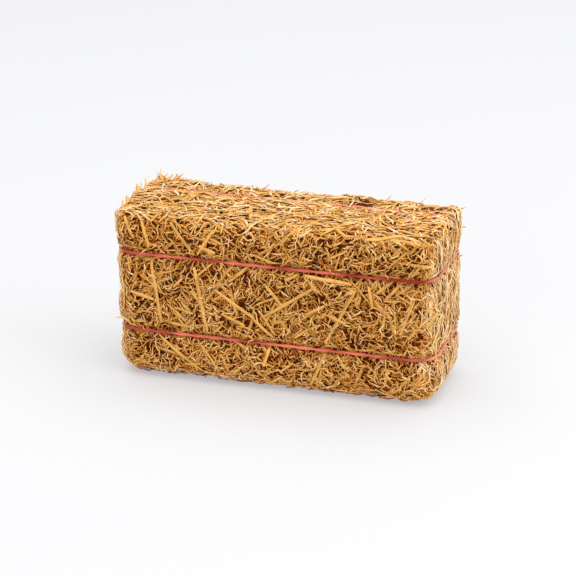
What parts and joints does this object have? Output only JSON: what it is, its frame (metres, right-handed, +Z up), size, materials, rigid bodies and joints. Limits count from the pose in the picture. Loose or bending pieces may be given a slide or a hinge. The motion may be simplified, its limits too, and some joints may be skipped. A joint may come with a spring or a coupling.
{
  "type": "square straw bale",
  "caption": "Miniature square bale of packed golden straw that lies on its long narrow side, tied round and lengthwise with thin red twine.",
  "frame": {"origin": "on the floor plane, under the middle of the bale's outline", "axes": "+X along the length towards the right end, +Y through the depth from the front to the back, +Z up"},
  "size_m": [0.13, 0.051, 0.0693],
  "materials": {
    "straw": "dry cut straw, cream to golden to brown, with slightly glossy stalks",
    "twine": "thin twisted red twine, pink where the light catches it"
  },
  "bodies": {
    "root": {"straw_bale": "straw", "upper_twine": "twine", "lower_twine": "twine", "lengthwise_twine": "twine"}
  },
  "joints": []
}
